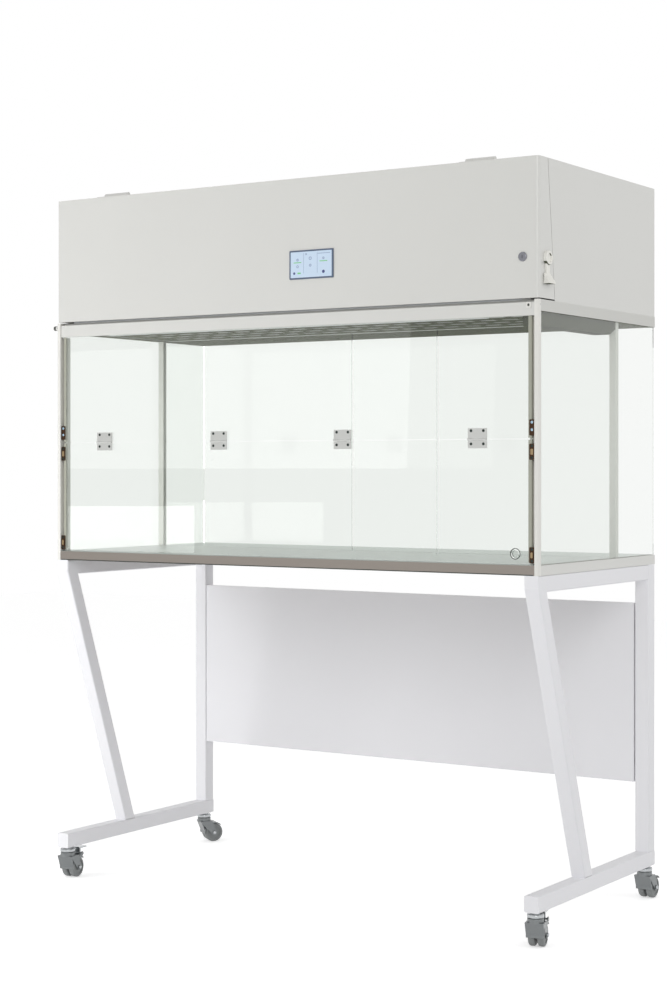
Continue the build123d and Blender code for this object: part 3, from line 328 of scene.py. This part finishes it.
# painted highlight: a pale yellow metal for the glint on the bronze catches, used on the sill catch levers and
# on small plates
glintBrass = chromePlate("brassPaintedHighlight", "glintBrass")
darkScrew = chromePlate("blackOxideSteel", "blackOxide")
blueZinc = chromePlate("blueZincPlate", "blueZinc")
millAluminium = brushedStainless("millAluminium", steel["aluminium"])
wheelGrey = mouldedPlastic("greyThermoplasticRubber", "868989", 0.5)
darkMoulding = mouldedPlastic("glassFilledNylon", "5b5e5d", 0.5)
sealRubber = mouldedPlastic("extrudedSealRubber", "a4a598", 0.6)
capPlastic = mouldedPlastic("darkPolyamideCap", "3b3c38", 0.45)
lampDiffuser = mouldedPlastic("opalAcrylic", "e9ecec", 0.3)
bezelPlastic = mouldedPlastic("blueGreyAbs", "56657d", 0.35)
filterPaper = pleatedPaper("glassFibrePaper", paper["colour"])
glassX = floatGlass("floatGlassSide", 0, glassLook["front"])
glassY = floatGlass("floatGlassWindow", 1, glassLook["front"])
glassRear = floatGlass("floatGlassRear", 1, glassLook["rear"])

finishes = {
    whiteCoat: ("stand_", "modesty_panel"),
    greyCoat: ("base_frame", "housing_shell", "front_cover", "window_rail", "cover_hinges", "plenum_box"),
    latchPaintedLight: ("side_latch",),
    gearPaintedShade: ("lamp_gear",),
    postCoat: ("front_post", "rear_channels"),
    ceilingPaintedShade: ("canopy_tray", "ceiling_diffuser"),
    sheetSteel: ("worktop",),
    hingeSteel: ("hinge_leaves",),
    glassX: ("side_glass",),
    glassY: ("upper_pane", "lower_pane", "pane_plug"),
    glassRear: ("rear_glass",),
    brightChrome: ("caster_heads", "caster_brake"),
    forkNickel: ("caster_fork",),
    lockChrome: ("cam_lock",),
    wheelGrey: ("caster_wheel",),
    bronze: ("catches",),
    glintBrass: ("catch_lever",),
    millAluminium: ("filter_frame", "impeller"),
    filterPaper: ("filter_media",),
    darkMoulding: ("control_box",),
    bezelPlastic: ("touch_screen",),
    lampDiffuser: ("lamp",),
}
# the longest start that fits a node's name gives its finish
starts = sorted(((start, material) for material, group in finishes.items() for start in group),
                key=lambda pair: -len(pair[0]))
for nodeName, node in nodes.items():
    material = next(material for start, material in starts if nodeName.startswith(start))
    node.data.materials.clear()
    node.data.materials.append(material)
print("finishes set")


# the lit page of the touch screen: the panel, then thin marks one layer above it
display = {"x": 103, "z": 1667, "y": -356.95, "width": 126, "height": 66, "proud": 0.25, "markShare": 0.9}
displayGlass = mouldedPlastic("backlitDisplay", "cfe2f6", 0.12)
inkGrey = mouldedPlastic("displayGreyBlue", "8fa3c4", 0.3)
inkGreen = mouldedPlastic("displayGreen", "7fd08a", 0.3)
inkNavy = mouldedPlastic("displayNavy", "39427e", 0.3)


def onDisplay(u, v, layer=0):
    # u and v run from -1 to 1 across the lit area
    return (
        (display["x"] + u * display["width"] / 2) * mm,
        (display["y"] - display["proud"] * (1 + layer)) * mm,
        (display["z"] + v * display["height"] / 2) * mm,
    )


def displayTile(name, u, v, width, height, radius, layer=1):
    outline = roundedOutline(onDisplay(u, v, layer), (1, 0, 0), (0, 0, 1), width * mm, height * mm, radius * mm)
    return plate(name, outline, display["proud"] * display["markShare"] * mm, (0, 1, 0))


def displayRing(name, u, v, radius, hole, layer=1):
    thin = display["proud"] * display["markShare"]
    profile = [(hole, 0), (radius, 0), (radius, thin), (hole, thin), (hole, 0)]
    return turned(name, np.array(profile) * mm, onDisplay(u, v, layer), (0, 1, 0), (1, 0, 0), 18)


addPiece("displayPanel", [displayTile("a", 0, 0, display["width"], display["height"], 1, 0)], displayGlass,
         "cover", smooth=False)
addPiece("displayIcons", [
    displayRing("a", -0.66, 0.38, 3.4, 1.6), displayRing("b", -0.04, 0.46, 4.4, 2.6),
    displayRing("c", 0.6, 0.42, 3.2, 1.4), displayRing("d", -0.66, -0.14, 3.6, 2.0),
    displayRing("e", -0.04, -0.08, 3.6, 1.8), displayRing("f", -0.24, 0.8, 2.4, 1.0),
    displayTile("g", 0.62, 0.8, 38, 1.4, 0.6), displayTile("h", 0.3, 0.1, 0.7, 52, 0.3),
    displayTile("i", -0.36, 0.1, 0.7, 52, 0.3),
], inkGrey, "cover", smooth=False)
addPiece("displayBars", [
    displayTile("a", -0.66, 0.17, 24, 2.2, 1), displayTile("b", 0.6, 0.2, 24, 2.2, 1),
    displayTile("c", -0.58, -0.66, 10, 4, 1.5),
], inkGreen, "cover", smooth=False)
addPiece("displayDots", [
    displayRing("a", 0.6, -0.62, 4.2, 0.4), displayRing("b", -0.82, -0.66, 3.2, 0.4),
], inkNavy, "cover", smooth=False)
print("touch screen done")


screws = {
    "hingeRadius": 3.6, "catchRadius": 3.4, "headHeight": 1.1, "front": -351.5, "seam": 1216.5,
    "leafX": (-582, -194, 194, 582), "leafHalf": 17, "catchX": (-730, 730),
}


def screwHead(x, z, radius):
    # a low pan head on the window's front, whose profile dips into a round socket in the middle
    height = screws["headHeight"]
    profile = [(radius, 0), (radius, height * 0.35), (radius * 0.8, height * 0.9), (radius * 0.5, height),
               (radius * 0.42, height * 0.95), (radius * 0.38, height * 0.3), (0.02, height * 0.25)]
    return turned("s", np.array(profile) * mm, np.array((x, screws["front"], z)) * mm, (0, -1, 0), (1, 0, 0))


for row, lift, body in (("Upper", 20.7, "window_upper"), ("Lower", -11.4, "window_lower")):
    heads = [screwHead(x + dx, screws["seam"] + lift, screws["hingeRadius"])
             for x in screws["leafX"] for dx in (-screws["leafHalf"], screws["leafHalf"])]
    addPiece("hingeScrews" + row, heads, darkScrew, body)

for name, heights, body, material in (
    ("catchScrewsUpper", (1238, 1256), "window_upper", blueZinc),
    ("catchScrewsLower", (1171.5, 1199.5), "window_lower", darkScrew),
    ("catchScrewsSill", (925, 953), "window_lower", darkScrew),
):
    heads = [screwHead(x, z, screws["catchRadius"]) for x in screws["catchX"] for z in heights]
    addPiece(name, heads, material, body)

# painted highlight: pale yellow plates between the screws of the lower catches stand for the glint on their
# bronze
glintPlate = {"z": 1185.5, "width": 7, "height": 14, "thick": 0.8, "corner": 2}
glintPlates = []
for x in screws["catchX"]:
    centre = np.array((x, screws["front"] - glintPlate["thick"], glintPlate["z"])) * mm
    rim = roundedOutline(centre, (1, 0, 0), (0, 0, 1), glintPlate["width"] * mm, glintPlate["height"] * mm,
                         glintPlate["corner"] * mm)
    glintPlates.append(plate("w", rim, glintPlate["thick"] * mm, (0, 1, 0)))
addPiece("catchGlintPlates", glintPlates, glintBrass, "window_lower", smooth=False)
print("screws done")


# rubber edge seals on the upright sides of both panes
paneSeal = {"outer": 728.9, "width": 9, "wall": 0.35, "front": -350.1, "rear": -343.35, "glassFace": -349.6,
            "upper": (1219, 1509), "lower": (921, 1214)}


def edgeSeal(name, side, low, high):
    # an L of constant section carried up the edge: across the pane's front and round its outer side
    outer, inner = paneSeal["outer"], paneSeal["outer"] - paneSeal["width"]
    wall, front, rear, face = (paneSeal[key] for key in ("wall", "front", "rear", "glassFace"))
    section = [(outer, front), (outer, rear), (outer - wall, rear), (outer - wall, face), (inner, face),
               (inner, front + 0.2), (inner + 0.4, front)]
    section = np.array([(side * x, y) for x, y in section]) * mm
    rings = [np.column_stack([section, np.full(len(section), z * mm)]) for z in (low, high)]
    return fromGrid(name, np.stack(rings), wrapV=True, capEnds=True)


for row in ("upper", "lower"):
    low, high = paneSeal[row]
    seals = [edgeSeal("s", side, low, high) for side in (-1, 1)]
    addPiece("paneSeal" + row.title(), seals, sealRubber, "window_" + row, smooth=False)
print("pane seals done")


# a dark cap pressed on the knob of the window's left pivot pin
pivotCap = {"y": -346.5, "z": 1536, "from": 756.8, "radius": 6.4}
rim = pivotCap["radius"]
capProfile = np.array([(0.05, 0), (rim, 0), (rim, 6.5), (rim - 1.2, 8.4), (0.05, 8.8)]) * mm
capCentre = np.array((-pivotCap["from"], pivotCap["y"], pivotCap["z"])) * mm
addPiece("pivotCap", [turned("c", capProfile, capCentre, (-1, 0, 0), (0, 0, 1), 20)], capPlastic,
         "window_upper")
print("pivot cap done")


# painted shade: a dark strip along the bottom of the worktop's folded edge, for the shadow line under the fold
lipShadow = {"halfLength": 735, "z": 890.3, "height": 2.2, "front": -354.9, "thick": 0.5, "corner": 0.8}
lipShadowOutline = roundedOutline((0, lipShadow["front"] * mm, (lipShadow["z"] + lipShadow["height"] / 2) * mm), (1, 0, 0), (0, 0, 1),
                            2 * lipShadow["halfLength"] * mm, lipShadow["height"] * mm, lipShadow["corner"] * mm)
addPiece("worktopLipShadow", [plate("h", lipShadowOutline, lipShadow["thick"] * mm, (0, 1, 0))], darkScrew, "hood", smooth=False)

# a pressed lug with a round hole at the right end of the window rail
lug = {"x": 722, "z": 1535.5, "width": 13, "height": 14, "front": -354, "thick": 1.6, "hole": 3.4, "corner": 3}
lugCentre = np.array((lug["x"], lug["front"], lug["z"])) * mm
lugRim = roundedOutline(lugCentre, (1, 0, 0), (0, 0, 1), lug["width"] * mm, lug["height"] * mm,
                        lug["corner"] * mm, 7)
# the hole is the rim's own directions at one radius, so a ring of quads joins the two
lugSide = lugRim - lugCentre
lugHole = lugCentre + lugSide / np.linalg.norm(lugSide, axis=1, keepdims=True) * lug["hole"] * mm
back = np.array((0, lug["thick"], 0)) * mm
lugMesh = fromGrid("l", np.stack([lugHole, lugRim, lugRim + back, lugHole + back]), wrapU=True, wrapV=True)
addPiece("railLug", [lugMesh], postCoat, "window_upper", smooth=False)
lugPin = np.array([(0.05, 0), (lug["hole"] - 0.3, 0), (lug["hole"] - 0.3, 1.4), (0.05, 1.4)]) * mm
lugPinCentre = lugCentre + (0, 1.5 * mm, 0)
addPiece("railLugPin", [turned("p", lugPin, lugPinCentre, (0, -1, 0), (1, 0, 0), 18)], capPlastic,
         "window_upper")
print("hem and lug done")


# domed nuts on the ends of each caster's axle; places and turns are those of the casters
axleNut = {"cheek": 24.6, "radius": 5.2, "height": 3.2, "trail": 26, "z": 28}
casterTurns = {"front_left": (-730, -332.5, 98), "front_right": (730, -332.5, 104),
               "rear_left": (-730, 303.5, 55), "rear_right": (730, 303.5, 90)}
for corner, (x, y, turn) in casterTurns.items():
    ahead = np.array((cos(radians(turn)), sin(radians(turn)), 0))
    across = np.array((ahead[1], -ahead[0], 0))
    hub = (np.array((x, y, axleNut["z"])) + axleNut["trail"] * ahead) * mm
    # quarter of a sine in height over a cosine in radius gives the dome
    rise = np.linspace(0, np.pi / 2 - 0.02, 7)
    dome = np.column_stack([axleNut["radius"] * np.cos(rise), axleNut["height"] * np.sin(rise)]) * mm
    parts = [turned("n", dome, hub + side * across * axleNut["cheek"] * mm, side * across, (0, 0, 1), 18)
             for side in (-1, 1)]
    addPiece("axleNuts_" + corner, parts, brightChrome, "fork_" + corner)
print("axle nuts done")


studio = {
    "floor": "f4f4f4", "floorHalf": 9, "floorDrop": 0.0006, "floorGlow": 0.45, "ambient": 0.58,
    "key": 48, "left": 29, "side": 22, "low": 17, "back": 8,
}

seenRays = ("Is Camera Ray", "Is Glossy Ray", "Is Transmission Ray")
half, drop = studio["floorHalf"], studio["floorDrop"]
floorMesh = fromGrid("studioFloor", np.array([[(x, y, -drop) for y in (-half, half)] for x in (-half, half)]))
floorMesh.flip_normals()
studioFloor = bpy.data.objects.new("studioFloor", floorMesh)
bpy.context.collection.objects.link(studioFloor)

# matt white paint that glows a little to the camera and in reflections,
# so the floor runs out into the background
floorMaterial, tree, shader, _ = startMaterial("paintedFloor", studio["floor"])
shader.inputs["Base Color"].default_value = linear(studio["floor"])
shader.inputs["Roughness"].default_value = 0.9
shader.inputs["Specular IOR Level"].default_value = 0.1
seen = anyRay(tree, *seenRays)
glowAmount = addNode(tree, "ShaderNodeMath", {"operation": "MULTIPLY"}, i0=seen, i1=studio["floorGlow"])
glow = addNode(tree, "ShaderNodeEmission", Strength=glowAmount.outputs[0])
both = addNode(tree, "ShaderNodeAddShader")
tree.links.new(shader.outputs[0], both.inputs[0])
tree.links.new(glow.outputs[0], both.inputs[1])
tree.links.new(both.outputs[0], tree.nodes["Material Output"].inputs[0])
floorMesh.materials.append(floorMaterial)

world = bpy.data.worlds.new("studio")
bpy.context.scene.world = world
world.use_nodes = True
tree = world.node_tree
background = tree.nodes["Background"]
level = addNode(tree, "ShaderNodeMapRange", Value=anyRay(tree, *seenRays), To_Min=studio["ambient"], To_Max=1.0)
tree.links.new(level.outputs[0], background.inputs["Strength"])
background.inputs["Color"].default_value = (1, 1, 1, 1)


def softLight(name, place, aim, size, power):
    # a square softbox turned to face its aim
    data = bpy.data.lights.new(name, "AREA")
    data.size = size
    data.energy = power
    lamp = bpy.data.objects.new(name, data)
    lamp.location = place
    direction = np.array(aim) - np.array(place)
    lamp.rotation_euler = (np.arctan2(np.hypot(direction[0], direction[1]), -direction[2]), 0,
                           np.arctan2(direction[1], direction[0]) - np.pi / 2)
    lamp.visible_glossy = name == "keyLight"  # the others would show as white panels in the rear glass
    bpy.context.collection.objects.link(lamp)


softLight("keyLight", (3.3, -4.2, 2.9), (0.3, -0.2, 1.2), 2.0, studio["key"])
softLight("leftLight", (-2.8, -3.6, 2.2), (-0.2, 0, 1.0), 2.2, studio["left"])
softLight("sideLight", (4.4, 0.4, 2.4), (0.6, 0, 1.3), 2.0, studio["side"])
softLight("lowLight", (-2.0, -1.8, 0.5), (-0.6, 0.3, 0.5), 1.0, studio["low"])
softLight("backLight", (0.5, 4.0, 3.0), (0, 0, 1.4), 2.0, studio["back"])

view = {"place": (2.8434, -4.4828, 1.1523), "turn": 32.93, "focalPixels": 1940.14, "horizon": 465.72,
        "height": 1000, "sensor": 36, "far": 60}
cameraData = bpy.data.cameras.new("camera")
cameraData.sensor_fit = "VERTICAL"
cameraData.sensor_height = view["sensor"]
cameraData.lens = view["sensor"] * view["focalPixels"] / view["height"]
cameraData.shift_y = (view["horizon"] - view["height"] / 2) / view["height"]
cameraData.clip_end = view["far"]
camera = bpy.data.objects.new("camera", cameraData)
camera.location = view["place"]
camera.rotation_euler = (radians(90), 0, radians(view["turn"]))
bpy.context.collection.objects.link(camera)
bpy.context.scene.camera = camera
bpy.context.scene.view_settings.view_transform = "Standard"
print("studio and camera done")
